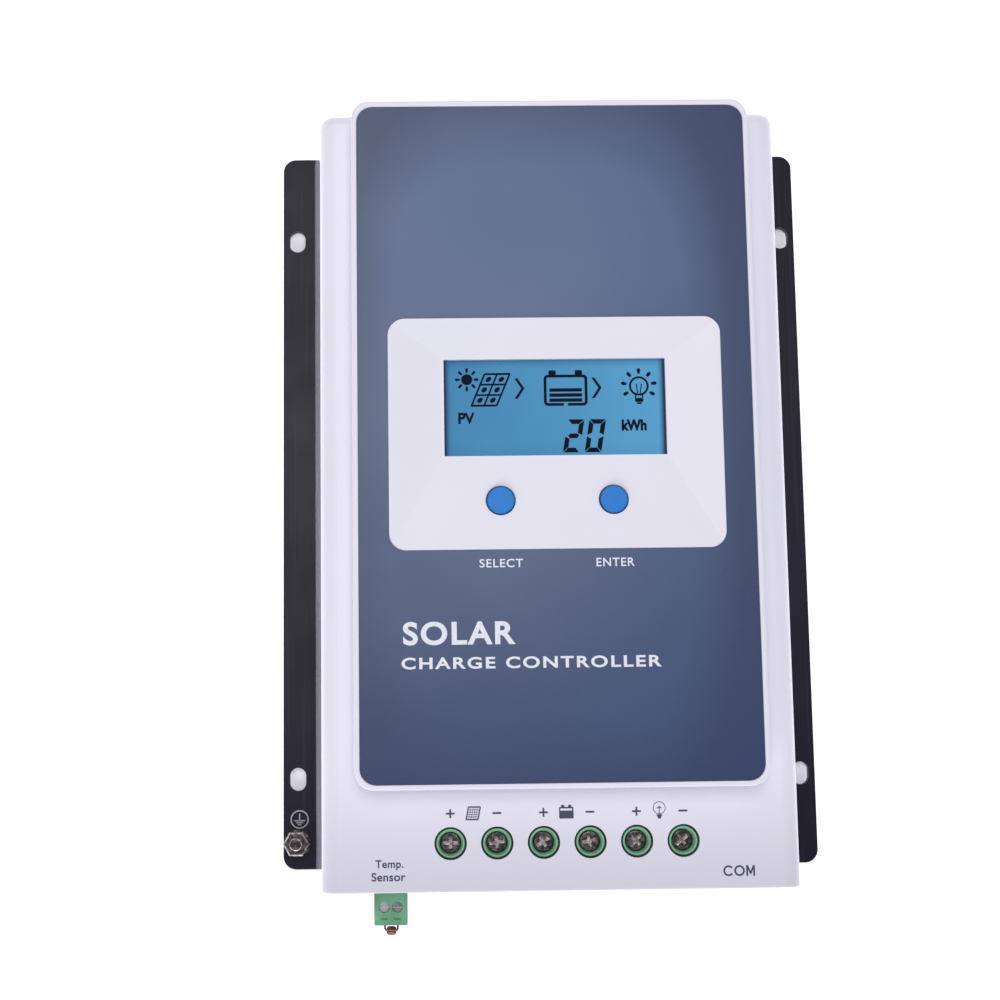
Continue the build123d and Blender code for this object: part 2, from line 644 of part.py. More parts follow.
with BuildPart() as com_jack_contacts:
    first_x = COM_X - COM_CONTACT_PITCH * (COM_CONTACTS - 1) / 2
    with BuildSketch(Plane.YZ.offset(first_x)):
        with BuildLine():
            Polyline((-112.0, 24.5), (-103.0, 25.4), (COM_CAVITY_NORTH, 25.4))
        trace(line_width=0.3)
    extrude(amount=0.45)
    first = com_jack_contacts.part
    for step in range(1, COM_CONTACTS):
        add(first.moved(Location((step * COM_CONTACT_PITCH, 0, 0))))
save(com_jack_contacts, "com_jack_contacts")

with BuildPart() as sensor_socket:
    block(
        SENSOR_X - SOCKET_HALF, SENSOR_X + SOCKET_HALF,
        SOCKET_SOUTH, SOCKET_NORTH, BOARD_TOP, SOCKET_TOP,
    )
    block(
        SENSOR_X - SOCKET_HALF + 1.2, SENSOR_X + SOCKET_HALF - 1.2,
        SOCKET_SOUTH, SOCKET_NORTH - 1.4, BOARD_TOP + 1.2, SOCKET_TOP - 1.2, Mode.SUBTRACT,
    )
    for x in SENSOR_PINS:
        block(
            x - 0.52, x + 0.52, SOCKET_NORTH - 2, SOCKET_NORTH + 1,
            SENSOR_PIN_Z - 0.52, SENSOR_PIN_Z + 0.52, Mode.SUBTRACT,
        )
save(sensor_socket, "sensor_socket")

with BuildPart() as sensor_socket_pins:
    for x in SENSOR_PINS:
        block(
            x - 0.5, x + 0.5, SOCKET_SOUTH + 3, SOCKET_NORTH + 1.2,
            SENSOR_PIN_Z - 0.5, SENSOR_PIN_Z + 0.5,
        )
        block(
            x - 0.5, x + 0.5, SOCKET_NORTH + 0.2, SOCKET_NORTH + 1.2,
            BOARD_BOTTOM - 0.6, SENSOR_PIN_Z,
        )
save(sensor_socket_pins, "sensor_socket_pins")

LEG_HALF = 1.6
LEG_BOTTOM = 23.9
LEG_TOP = 28.4
LEG_END = -106.2
PLUG_CHAMBER_TOP = 28.5
PLUG_LEDGE_TOP = 28.9
PLUG_STRIP_BOTTOM = 25.6
PLUG_STRIP_TOP = 26.0
SLEEVE_HALF = 1.1
SLEEVE_BOTTOM = SENSOR_PIN_Z - SLEEVE_HALF
SLEEVE_TOP = SENSOR_PIN_Z + SLEEVE_HALF
SLEEVE_START = -112.0
SLEEVE_SLOT = 0.56

with BuildPart() as sensor_plug:
    block(
        SENSOR_X - PLUG_HALF, SENSOR_X + PLUG_HALF,
        PLUG_OUTER, PLUG_FACE, PLUG_BOTTOM, PLUG_TOP,
    )
    outline = sensor_plug.edges().filter_by(Axis.Y)
    fillet(outline, 0.5)
    for x in SENSOR_PINS:
        block(x - LEG_HALF, x + LEG_HALF, PLUG_FACE, LEG_END, LEG_BOTTOM, LEG_TOP)
        block(
            x - SLEEVE_HALF - 0.05, x + SLEEVE_HALF + 0.05, PLUG_SLEEVE_SOUTH, LEG_END,
            SLEEVE_BOTTOM - 0.05, SLEEVE_TOP + 0.05, Mode.SUBTRACT,
        )
        block(x - 0.35, x + 0.35, PLUG_SLEEVE_SOUTH, LEG_END, SLEEVE_TOP, LEG_TOP, Mode.SUBTRACT)
        block(
            x - 1.7, x + 1.7, PLUG_CHAMBER_SOUTH, PLUG_CHAMBER_NORTH,
            22.0, PLUG_CHAMBER_TOP, Mode.SUBTRACT,
        )
        block(
            x - 1.0, x + 1.0, PLUG_CHAMBER_NORTH, PLUG_SLEEVE_SOUTH,
            PLUG_STRIP_BOTTOM - 0.05, PLUG_STRIP_TOP + 0.05, Mode.SUBTRACT,
        )
        block(
            x - 0.9, x + 0.9, PLUG_OUTER + 1.5, PLUG_OUTER + 2.1,
            PLUG_TOP - 0.4, PLUG_TOP, Mode.SUBTRACT,
        )
        rod(x, PLUG_SCREW_Y, PLUG_CHAMBER_TOP, PLUG_TOP, 1.15, Mode.SUBTRACT)
        rod(x, PLUG_SCREW_Y, PLUG_LEDGE_TOP, PLUG_TOP, 1.55, Mode.SUBTRACT)
        rod_y(x, PLUG_WIRE_Z, PLUG_OUTER, PLUG_CHAMBER_SOUTH, 1.2, Mode.SUBTRACT)
save(sensor_plug, "sensor_plug")

with BuildPart() as sensor_plug_contacts:
    for x in SENSOR_PINS:
        block(
            x - SLEEVE_HALF, x + SLEEVE_HALF, PLUG_SLEEVE_SOUTH + 0.1, LEG_END - 0.1,
            SLEEVE_BOTTOM, SLEEVE_TOP,
        )
        block(
            x - 0.9, x + 0.9, PLUG_CHAMBER_SOUTH + 0.3, SLEEVE_START,
            PLUG_STRIP_BOTTOM, PLUG_STRIP_TOP,
        )
        block(
            x - SLEEVE_SLOT, x + SLEEVE_SLOT, SLEEVE_START, LEG_END,
            SENSOR_PIN_Z - SLEEVE_SLOT, SENSOR_PIN_Z + SLEEVE_SLOT, Mode.SUBTRACT,
        )
save(sensor_plug_contacts, "sensor_plug_contacts")

for side, x in zip(("left", "right"), SENSOR_PINS):
    with BuildPart() as plug_clamp:
        block(x - 1.6, x + 1.6, PLUG_SCREW_Y - 2.3, PLUG_SCREW_Y + 2.3, 22.1, 27.2)
        block(x - 1.15, x + 1.15, PLUG_SCREW_Y - 3, PLUG_SCREW_Y + 3, 22.6, 26.2, Mode.SUBTRACT)
        rod(
            x, PLUG_SCREW_Y, 26.0, 27.2,
            PLUG_SCREW_RADIUS + THREAD_CLEAR, Mode.SUBTRACT,
        )
    save(plug_clamp, f"plug_{side}_clamp")

    with BuildPart() as plug_screw:
        rod(x, PLUG_SCREW_Y, PLUG_STRIP_TOP + 0.1, PLUG_LEDGE_TOP, PLUG_SCREW_RADIUS)
        rod(x, PLUG_SCREW_Y, PLUG_LEDGE_TOP, PLUG_LEDGE_TOP + 1.5, 1.45)
        block(
            x - 2, x + 2, PLUG_SCREW_Y - 0.25, PLUG_SCREW_Y + 0.25,
            PLUG_LEDGE_TOP + 0.8, PLUG_LEDGE_TOP + 2, Mode.SUBTRACT,
        )
    save(plug_screw, f"plug_{side}_screw")

# The sensing bead hangs on one bent lead that enters both clamps.
LEAD_RADIUS = 0.3
BEAD_RADIUS = 1.3
BEAD_Y = -126.6

with BuildPart() as thermistor:
    with BuildLine() as lead:
        FilletPolyline(
            (SENSOR_PINS[0], PLUG_LEAD_END, PLUG_WIRE_Z),
            (SENSOR_PINS[0], BEAD_Y, PLUG_WIRE_Z),
            (SENSOR_PINS[1], BEAD_Y, PLUG_WIRE_Z),
            (SENSOR_PINS[1], PLUG_LEAD_END, PLUG_WIRE_Z),
            radius=0.9,
        )
    with BuildSketch(Plane((SENSOR_PINS[0], PLUG_LEAD_END, PLUG_WIRE_Z), z_dir=(0, -1, 0))):
        Circle(LEAD_RADIUS)
    sweep(path=lead.line)
    with Locations((SENSOR_X, BEAD_Y, PLUG_WIRE_Z)):
        Cylinder(BEAD_RADIUS, 2.9, rotation=(0, 90, 0))
    ends = thermistor.edges().filter_by(GeomType.CIRCLE)
    fillet(ends.filter_by(lambda edge: abs(edge.radius - BEAD_RADIUS) < 0.01), 0.8)
save(thermistor, "thermistor")


# ----------------------------------------------------------------------- ground stud

WASHER_TOP = FLANGE_THICKNESS + 1.5
NUT_HALF = 3.5
NUT_HEIGHT = 3.0
STUD_TOP = 8.4

with BuildPart() as ground_stud:
    rod(*GROUND_STUD, 0.3, STUD_TOP, GROUND_STUD_RADIUS)
    stud_end = ground_stud.edges().filter_by(GeomType.CIRCLE).group_by(Axis.Z)[-1]
    fillet(stud_end, 0.6)
save(ground_stud, "ground_stud")

with BuildPart() as ground_washers:
    rod(*GROUND_STUD, FLANGE_THICKNESS, FLANGE_THICKNESS + 0.8, 4.1)
    rod(*GROUND_STUD, FLANGE_THICKNESS + 0.8, WASHER_TOP, 3.7)
    rod(*GROUND_STUD, FLANGE_THICKNESS, WASHER_TOP, GROUND_STUD_RADIUS + 0.15, Mode.SUBTRACT)
save(ground_washers, "ground_washers")

with BuildPart() as ground_nut:
    with BuildSketch(Plane.XY.offset(WASHER_TOP)):
        with Locations(GROUND_STUD):
            RegularPolygon(NUT_HALF, 6, major_radius=False)
    extrude(amount=NUT_HEIGHT)
    nut_rim = ground_nut.edges().group_by(Axis.Z)[-1]
    chamfer(nut_rim, 0.45)
    rod(
        *GROUND_STUD, WASHER_TOP, WASHER_TOP + NUT_HEIGHT,
        GROUND_STUD_RADIUS + THREAD_CLEAR, Mode.SUBTRACT,
    )
save(ground_nut, "ground_nut")


# ----------------------------------------------------------------------- power parts

CORE_INNER = 8.0
CORE_OUTER = 16.0
CORE_BOTTOM = 24.0
CORE_TOP = 36.0
TURN_COUNT = 22
TURN_WIRE = 1.3

with BuildPart() as inductor_core:
    rod(*INDUCTOR, CORE_BOTTOM, CORE_TOP, CORE_OUTER)
    rod(*INDUCTOR, CORE_BOTTOM, CORE_TOP, CORE_INNER, Mode.SUBTRACT)
    fillet(inductor_core.edges().filter_by(GeomType.CIRCLE), 0.8)
save(inductor_core, "inductor_core")

with BuildPart() as inductor_winding:
    for turn in range(TURN_COUNT):
        angle = 2 * math.pi * turn / TURN_COUNT
        radial = (math.cos(angle), math.sin(angle), 0)
        tangent = (math.sin(angle), -math.cos(angle), 0)
        middle = (CORE_INNER + CORE_OUTER) / 2
        width = CORE_OUTER - CORE_INNER + 0.1
        height = CORE_TOP - CORE_BOTTOM + 0.1
        with BuildSketch(Plane((*INDUCTOR, 0), x_dir=radial, z_dir=tangent)):
            with Locations((middle, (CORE_BOTTOM + CORE_TOP) / 2)):
                RectangleRounded(width + 2 * TURN_WIRE, height + 2 * TURN_WIRE, 1.6)
                Rectangle(width, height, mode=Mode.SUBTRACT)
        extrude(amount=TURN_WIRE / 2, both=True)
save(inductor_winding, "inductor_winding")


def capacitors(places, radius, height):
    """Standing electrolytic cans, each with the rolled groove near its foot."""
    with BuildPart() as cans:
        for x, y in places:
            rod(x, y, BOARD_TOP, BOARD_TOP + height, radius)
            with Locations((x, y, BOARD_TOP + 3)):
                Torus(radius + 0.5, 1.1, mode=Mode.SUBTRACT)
        rims = cans.edges().filter_by(GeomType.CIRCLE).group_by(Axis.Z)[-1]
        fillet(rims, 0.8)
    return cans


save(capacitors(INPUT_CAPACITORS, 8.0, 25.0), "input_capacitors")
save(capacitors(OUTPUT_CAPACITORS, 6.25, 17.0), "output_capacitors")

PAD_TOP = DECK_TOP + 0.3
TAB_TOP = PAD_TOP + 1.3

with BuildPart() as mosfets:
    for x in MOSFET_X:
        block(x - 5, x + 5, MOSFET_Y, MOSFET_Y + 9, PAD_TOP, PAD_TOP + 4.4)
        block(x - 5, x + 5, MOSFET_Y + 9, MOSFET_Y + 15.5, PAD_TOP, TAB_TOP)
        rod(x, MOSFET_HOLE_Y, PAD_TOP, TAB_TOP, M3_HOLE, Mode.SUBTRACT)
        for lead_x in (x - MOSFET_LEAD_PITCH, x, x + MOSFET_LEAD_PITCH):
            block(
                lead_x - 0.4, lead_x + 0.4, MOSFET_Y - 3.7, MOSFET_Y,
                PAD_TOP + 2.1, PAD_TOP + 2.7,
            )
            block(
                lead_x - 0.4, lead_x + 0.4, MOSFET_Y - 3.7, MOSFET_Y - 3.1,
                PAD_TOP + 2.1, BOARD_TOP + 1,
            )
save(mosfets, "mosfets")

with BuildPart() as mosfet_pads:
    for x in MOSFET_X:
        block(x - 6, x + 6, MOSFET_Y - 0.5, MOSFET_Y + 16.5, DECK_TOP, PAD_TOP)
        rod(x, MOSFET_HOLE_Y, DECK_TOP, PAD_TOP, M3_HOLE, Mode.SUBTRACT)
save(mosfet_pads, "mosfet_pads")

with BuildPart() as mosfet_screws:
    for x in MOSFET_X:
        rod(x, MOSFET_HOLE_Y, TAB_TOP, TAB_TOP + 2.1, M3_HEAD)
        rod(x, MOSFET_HOLE_Y, DECK_BOTTOM + 0.8, TAB_TOP, M3_RADIUS)
        drive_cross(x, MOSFET_HOLE_Y, TAB_TOP + 2.1, *M3_CROSS)
save(mosfet_screws, "mosfet_screws")

with BuildPart() as blade_fuses:
    for x, y in FUSES:
        block(x - 9.5, x + 9.5, y - 4.5, y + 4.5, BOARD_TOP, BOARD_TOP + 6)
        block(x - 9.5, x + 9.5, y - 2.6, y + 2.6, BOARD_TOP + 6, BOARD_TOP + 17)
        block(x - 5.5, x + 5.5, y - 1.6, y + 1.6, BOARD_TOP + 15.5, BOARD_TOP + 17, Mode.SUBTRACT)
save(blade_fuses, "blade_fuses")

with BuildPart() as current_shunt:
    with BuildSketch(Plane.XZ.offset(58)):
        with BuildLine():
            FilletPolyline(
                (-54, BOARD_TOP), (-54, BOARD_TOP + 7), (-34, BOARD_TOP + 7), (-34, BOARD_TOP),
                radius=2.5,
            )
        trace(line_width=1.6)
    extrude(amount=5)
save(current_shunt, "current_shunt")

CHIP_HALF = 7.0
CHIP_LEADS = 12

with BuildPart() as control_chip:
    chip_x, chip_y = CHIP
    block(
        chip_x - CHIP_HALF, chip_x + CHIP_HALF, chip_y - CHIP_HALF, chip_y + CHIP_HALF,
        BOARD_TOP + 0.1, BOARD_TOP + 1.5,
    )
    with Locations((chip_x, chip_y, BOARD_TOP + 0.4)):
        with PolarLocations(CHIP_HALF + 0.5, 4):
            with GridLocations(1, 1, 1, CHIP_LEADS):
                Box(1.4, 0.45, 0.8)
save(control_chip, "control_chip")


# ---------------------------------------------------------------------- flat cable

HEADER_HEIGHT = 7.0
CABLE_WIDTH = 14.0
CABLE_THICKNESS = 0.9
CABLE_LEVEL = 33.3

with BuildPart() as cable_headers:
    for y, foot, top in (
        (RIBBON_SOUTH, BOARD_TOP, BOARD_TOP + HEADER_HEIGHT),
        (RIBBON_NORTH, SCREEN_BOARD_BOTTOM - HEADER_HEIGHT, SCREEN_BOARD_BOTTOM),
    ):
        block(RIBBON_X - 9, RIBBON_X + 9, y - 3, y + 3, foot, top)
save(cable_headers, "cable_headers")

with BuildPart() as flat_cable:
    with BuildSketch(Plane.YZ.offset(RIBBON_X)):
        with BuildLine():
            FilletPolyline(
                (RIBBON_SOUTH, BOARD_TOP + HEADER_HEIGHT),
                (RIBBON_SOUTH, CABLE_LEVEL),
                (RIBBON_NORTH, CABLE_LEVEL),
                (RIBBON_NORTH, SCREEN_BOARD_BOTTOM - HEADER_HEIGHT),
                radius=3.0,
            )
        trace(line_width=CABLE_THICKNESS)
    extrude(amount=CABLE_WIDTH / 2, both=True)
save(flat_cable, "flat_cable")
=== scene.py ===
import json
import math

import bmesh
import bpy
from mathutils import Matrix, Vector


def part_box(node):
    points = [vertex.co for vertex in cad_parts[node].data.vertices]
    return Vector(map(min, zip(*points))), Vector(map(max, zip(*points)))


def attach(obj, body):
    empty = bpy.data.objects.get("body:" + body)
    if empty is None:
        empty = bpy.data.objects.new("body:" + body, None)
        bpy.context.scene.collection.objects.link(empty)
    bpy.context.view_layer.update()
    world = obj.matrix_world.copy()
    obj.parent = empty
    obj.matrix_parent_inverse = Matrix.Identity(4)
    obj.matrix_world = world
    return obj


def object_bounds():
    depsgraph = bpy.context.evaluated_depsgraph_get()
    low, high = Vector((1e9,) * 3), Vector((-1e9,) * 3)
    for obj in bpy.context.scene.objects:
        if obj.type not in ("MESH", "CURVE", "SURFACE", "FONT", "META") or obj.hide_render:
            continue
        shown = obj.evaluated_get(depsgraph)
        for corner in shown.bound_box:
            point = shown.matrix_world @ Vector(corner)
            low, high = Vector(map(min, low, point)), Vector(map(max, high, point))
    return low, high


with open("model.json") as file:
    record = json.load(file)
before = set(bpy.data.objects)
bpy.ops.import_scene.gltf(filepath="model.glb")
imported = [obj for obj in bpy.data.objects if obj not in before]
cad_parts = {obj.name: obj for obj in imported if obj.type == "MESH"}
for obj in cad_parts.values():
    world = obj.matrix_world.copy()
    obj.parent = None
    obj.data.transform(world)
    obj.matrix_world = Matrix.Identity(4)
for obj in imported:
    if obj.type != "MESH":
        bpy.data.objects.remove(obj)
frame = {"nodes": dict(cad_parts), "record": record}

# A solar charge controller lying on its back. Metres, in the frame of the CAD model:
# +X across the front, +Y away from the wire terminals, +Z away from the wall.

MM = 0.001
CAD_LOW, CAD_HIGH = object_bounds()
SLOT_OF = {s["node"]: s["material_slot"] for s in frame["record"]["subparts"]}

# Heights that prints lie on.
LABEL_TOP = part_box("front_label")[1].z
GLASS_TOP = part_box("lcd_glass")[1].z
FLANGE_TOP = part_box("ground_washers")[0].z
SHOULDER_TOP = 44.0 * MM
INK = 0.03 * MM

# The row of six clamp screws in their green collars.
COLLAR_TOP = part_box("pv_terminal_block")[1].z
FIRST_SCREW_LOW, FIRST_SCREW_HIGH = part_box("pv_plus_screw")
NEXT_SCREW_LOW, NEXT_SCREW_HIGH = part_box("pv_minus_screw")
CLAMP_HEAD_TOP = FIRST_SCREW_HIGH.z
FIRST_POLE_X = (FIRST_SCREW_LOW.x + FIRST_SCREW_HIGH.x) / 2
POLE_PITCH = (NEXT_SCREW_LOW.x + NEXT_SCREW_HIGH.x) / 2 - FIRST_POLE_X
POLE_Y = (FIRST_SCREW_LOW.y + FIRST_SCREW_HIGH.y) / 2

# The screen window in the cover.
WINDOW_LEFT, WINDOW_RIGHT = -31.9 * MM, 31.9 * MM
WINDOW_BOTTOM, WINDOW_TOP = 8.75 * MM, 36.85 * MM

bpy.context.scene.view_settings.view_transform = "Standard"


# ---------------------------------------------------------------- material helpers

# Most of a noise texture's values lie between these two.
NOISE_LOW, NOISE_HIGH = 0.3, 0.7

# The sockets for colours on a Mix node, which have the same names as its other sockets.
MIX_FACTOR, MIX_A, MIX_B, MIX_RESULT = 0, 6, 7, 2


def linear(r, g, b):
    """A colour given as 0 to 255 display values, as the linear values that sockets take."""
    def channel(v):
        v = v / 255
        return v / 12.92 if v <= 0.04045 else ((v + 0.055) / 1.055) ** 2.4
    return (channel(r), channel(g), channel(b), 1.0)


class Graph:
    """One Principled material and the nodes that feed it."""

    def __init__(self, name, **sockets):
        self.material = bpy.data.materials.new(name)
        self.material.use_nodes = True
        self.tree = self.material.node_tree
        self.shader = self.tree.nodes["Principled BSDF"]
        for socket, value in sockets.items():
            self.shader.inputs[socket.replace("_", " ")].default_value = value
        self.place = self.node("ShaderNodeTexCoord").outputs["Object"]

    def fill(self, socket, value):
        """Gives a socket a plain value or another node's output."""
        if isinstance(value, bpy.types.NodeSocket):
            self.tree.links.new(value, socket)
        else:
            socket.default_value = value

    def feed(self, socket, value):
        """Links a node's output to one of the shader's sockets, by name."""
        self.fill(self.shader.inputs[socket], value)

    def node(self, kind, settings=None, **inputs):
        """Adds a node; an input is a plain value or another node's output."""
        made = self.tree.nodes.new(kind)
        for key, value in (settings or {}).items():
            setattr(made, key, value)
        for key, value in inputs.items():
            self.fill(made.inputs[key.replace("_", " ")], value)
        return made

    def noise(self, scale, detail=3.0, stretch=(1, 1, 1)):
        """Noise over the object, drawn out along an axis whose stretch is under 1."""
        mapped = self.node("ShaderNodeMapping", Vector=self.place, Scale=stretch)
        made = self.node(
            "ShaderNodeTexNoise", Vector=mapped.outputs["Vector"], Scale=scale, Detail=detail
        )
        return made.outputs["Fac"]

    def spread(self, value, low, high, out_low=0.0, out_high=1.0):
        """Maps a value from one range onto another, held at both ends."""
        made = self.node(
            "ShaderNodeMapRange", Value=value, From_Min=low, From_Max=high,
            To_Min=out_low, To_Max=out_high,
        )
        return made.outputs["Result"]

    def drift(self, scale, detail=3.0, out_low=0.0, out_high=1.0):
        """Noise that wanders between two values."""
        return self.spread(self.noise(scale, detail), NOISE_LOW, NOISE_HIGH, out_low, out_high)

    def math(self, operation, a, b=0.0):
        """Arithmetic on one value or two."""
        made = self.node("ShaderNodeMath", {"operation": operation})
        self.fill(made.inputs[0], a)
        self.fill(made.inputs[1], b)
        return made.outputs[0]

    def mix(self, factor, a, b):
        """Colour a at factor 0, colour b at factor 1."""
        made = self.node("ShaderNodeMix", {"data_type": "RGBA"})
        self.fill(made.inputs[MIX_FACTOR], factor)
        self.fill(made.inputs[MIX_A], a)
        self.fill(made.inputs[MIX_B], b)
        return made.outputs[MIX_RESULT]

    def axes(self):
        """The object-space X, Y and Z of the shaded point, as three sockets."""
        parts = self.node("ShaderNodeSeparateXYZ", Vector=self.place).outputs
        return parts["X"], parts["Y"], parts["Z"]

    def upward(self):
        """How far the surface faces up: 1 on level tops, 0 on upright walls."""
        normal = self.node("ShaderNodeNewGeometry").outputs["Normal"]
        return self.node("ShaderNodeSeparateXYZ", Vector=normal).outputs["Z"]

    def bump(self, height, strength, distance):
        """Raises the shaded surface by a height from 0 to 1 times a distance."""
        made = self.node("ShaderNodeBump", Height=height, Strength=strength, Distance=distance)
        self.feed("Normal", made.outputs["Normal"])


def moulded(name, colour, darker, rough, grain=900.0, bump=0.05, mottle=60.0, **sockets):
    """Moulded plastic or paint: faint colour drift, uneven gloss and a fine skin."""
    graph = Graph(name, **sockets)
    graph.feed("Base Color", graph.mix(graph.drift(mottle, 4), linear(*darker), linear(*colour)))
    graph.feed("Roughness", graph.drift(mottle * 2.3, 3, rough * 0.85, rough * 1.2))
    graph.bump(graph.noise(grain, 2), bump, 0.02 * MM)
    return graph.material


def metal(name, colour, darker, rough):
    """Metal with stains in its colour and gloss."""
    graph = Graph(name, Metallic=1.0)
    stain = graph.noise(250, 5)
    blend = graph.spread(stain, NOISE_LOW, NOISE_HIGH)
    graph.feed("Base Color", graph.mix(blend, linear(*darker), linear(*colour)))
    graph.feed("Roughness", graph.spread(stain, 0.25, 0.75, rough * 0.7, rough * 1.4))
    graph.bump(stain, 0.12, 0.03 * MM)
    return graph.material


# --------------------------------------------------------------- materials by slot

def black_anodised():
    """Extruded aluminium, black: fine die lines along its length and a soft sheen."""
    graph = Graph("black_anodised", Specular_IOR_Level=0.25)
    lines = graph.noise(900, 3, (1, 0.02, 1))
    cloud = graph.spread(graph.noise(18, 3), 0.35, 0.65)
    tone = graph.mix(cloud, linear(9, 6, 27), linear(15, 11, 37))
    graph.feed("Base Color", graph.mix(graph.spread(lines, 0.55, 0.75), tone, linear(30, 28, 46)))
    graph.feed("Roughness", graph.drift(55, 3, 0.33, 0.43))
    graph.bump(lines, 0.10, 0.02 * MM)
    return graph.material


def white_plastic():
    """Cool white ABS: polished upright walls, softer tops, and painted shade that greys the
    terminal end.
    """
    graph = Graph("white_plastic")
    tone = graph.mix(graph.drift(14, 4), linear(234, 232, 244), linear(238, 236, 247))
    _, y, _ = graph.axes()
    # Painted shade: the cover greys towards the terminal end.
    painted_shade_terminal_end = graph.spread(y, -112 * MM, -84 * MM, 1.0, 0.0)
    graph.feed("Base Color", graph.mix(painted_shade_terminal_end, tone, linear(218, 215, 228)))
    gloss = graph.spread(graph.upward(), 0.3, 0.9, 0.07, 0.44)
    uneven = graph.drift(32, 3, -0.02, 0.02)
    graph.feed("Roughness", graph.math("ADD", gloss, uneven))
    graph.bump(graph.noise(700, 2), 0.03, 0.02 * MM)
    return graph.material


def label_blue():
    """Printed film: slate blue, lightened towards the top by a painted highlight, darkened round
    its border by painted shade, with a very fine print grain.
    """
    graph = Graph("label_blue", Specular_IOR_Level=0.45)
    x, y, _ = graph.axes()
    middle_x, middle_y = -4 * MM, 14.2 * MM
    half_x, half_y = 54 * MM, 100 * MM
    squareness = 4
    powers = []
    for place, middle, half in ((x, middle_x, half_x), (y, middle_y, half_y)):
        side = graph.math("DIVIDE", graph.math("SUBTRACT", place, middle), half)
        powers.append(graph.math("POWER", graph.math("ABSOLUTE", side), squareness))
    border = graph.math("POWER", graph.math("ADD", *powers), 1 / squareness)
    mottle = graph.spread(graph.noise(9, 2), 0.35, 0.65, -0.2, 0.2)
    # Painted highlight: the film is lighter towards the top.
    along = graph.math("ADD", graph.spread(y, -75 * MM, 85 * MM), mottle)
    light = graph.mix(along, linear(43, 66, 109), linear(65, 90, 133))
    # Painted shade: the film is darker round its border.
    tone = graph.mix(graph.spread(border, 0.8, 1.04), light, linear(40, 58, 99))
    speck = graph.spread(graph.noise(2600, 1), 0.6, 0.8, 0.0, 0.3)
    graph.feed("Base Color", graph.mix(speck, tone, linear(72, 90, 128)))
    graph.feed("Roughness", graph.drift(22, 3, 0.30, 0.36))
    graph.bump(graph.noise(500, 2), 0.02, 0.02 * MM)
    return graph.material


def lcd_glass():
    """Backlit panel: brighter to the right, darker along its short edges and its top."""
    graph = Graph("lcd_glass", Roughness=0.5, Specular_IOR_Level=0.2, Emission_Strength=0.62)
    x, y, _ = graph.axes()
    across = graph.spread(x, WINDOW_LEFT, WINDOW_RIGHT)
    glow = graph.mix(across, linear(56, 127, 174), linear(84, 161, 206))
    cloud = graph.spread(graph.noise(30, 2), 0.35, 0.65, 0.0, 0.25)
    glow = graph.mix(cloud, glow, linear(98, 168, 214))
    from_middle = graph.math("ABSOLUTE", x)
    edge = graph.spread(from_middle, WINDOW_RIGHT - 2.2 * MM, WINDOW_RIGHT - 0.4 * MM)
    shade = graph.mix(graph.math("POWER", edge, 1.6), glow, linear(22, 46, 78))
    top = graph.spread(y, WINDOW_TOP - 2.4 * MM, WINDOW_TOP)
    shade = graph.mix(graph.math("MULTIPLY", top, 0.45), shade, linear(34, 70, 110))
    graph.feed("Base Color", graph.mix(0.65, shade, linear(6, 14, 26)))
    graph.feed("Emission Color", shade)
    graph.bump(graph.noise(2400, 1), 0.01, 0.01 * MM)
    return graph.material


def circuit_board():
    """Solder mask over copper tracks."""
    graph = Graph("circuit_board", Coat_Weight=0.4)
    tracks = graph.node(
        "ShaderNodeTexBrick", {"offset": 0.35}, Vector=graph.place, Scale=140.0,
        Mortar_Size=0.018, Color1=(0.012, 0.15, 0.06, 1), Color2=(0.016, 0.19, 0.08, 1),
        Mortar=(0.01, 0.1, 0.04, 1),
    )
    graph.feed("Base Color", tracks.outputs["Color"])
    graph.feed("Roughness", graph.drift(80, 3, 0.25, 0.4))
    graph.bump(tracks.outputs["Fac"], 0.2, 0.04 * MM)
    return graph.material


def terminal_green():
    """Green polyamide, with painted light that makes the collars' tops paler and a ring of
    painted shade at their outer edges.
    """
    graph = Graph("terminal_green", Subsurface_Weight=0.05, Subsurface_Scale=2 * MM)
    body = graph.mix(graph.drift(160, 4), linear(58, 118, 84), linear(70, 132, 96))
    x, y, z = graph.axes()
    # Painted light: the collars' tops are paler than the body.
    painted_light_top = graph.spread(z, COLLAR_TOP - 2.6 * MM, COLLAR_TOP - 1.6 * MM)
    painted_light_mottle = graph.spread(graph.noise(700, 3), 0.35, 0.65)
    pale = graph.mix(painted_light_mottle, linear(134, 186, 144), linear(146, 198, 168))
    along = graph.math("PINGPONG", graph.math("SUBTRACT", x, FIRST_POLE_X), POLE_PITCH / 2)
    across = graph.math("SUBTRACT", y, POLE_Y)
    squares = [graph.math("MULTIPLY", offset, offset) for offset in (along, across)]
    from_pole = graph.math("POWER", graph.math("ADD", *squares), 0.5)
    # Painted shade: a darker ring at the collars' outer edges.
    outer = graph.spread(from_pole, 3.8 * MM, 4.05 * MM)
    pale = graph.mix(outer, pale, linear(56, 108, 80))
    graph.feed("Base Color", graph.mix(painted_light_top, body, pale))
    graph.feed("Roughness", graph.drift(240, 3, 0.26, 0.4))
    graph.bump(graph.noise(1500, 2), 0.06, 0.02 * MM)
    return graph.material


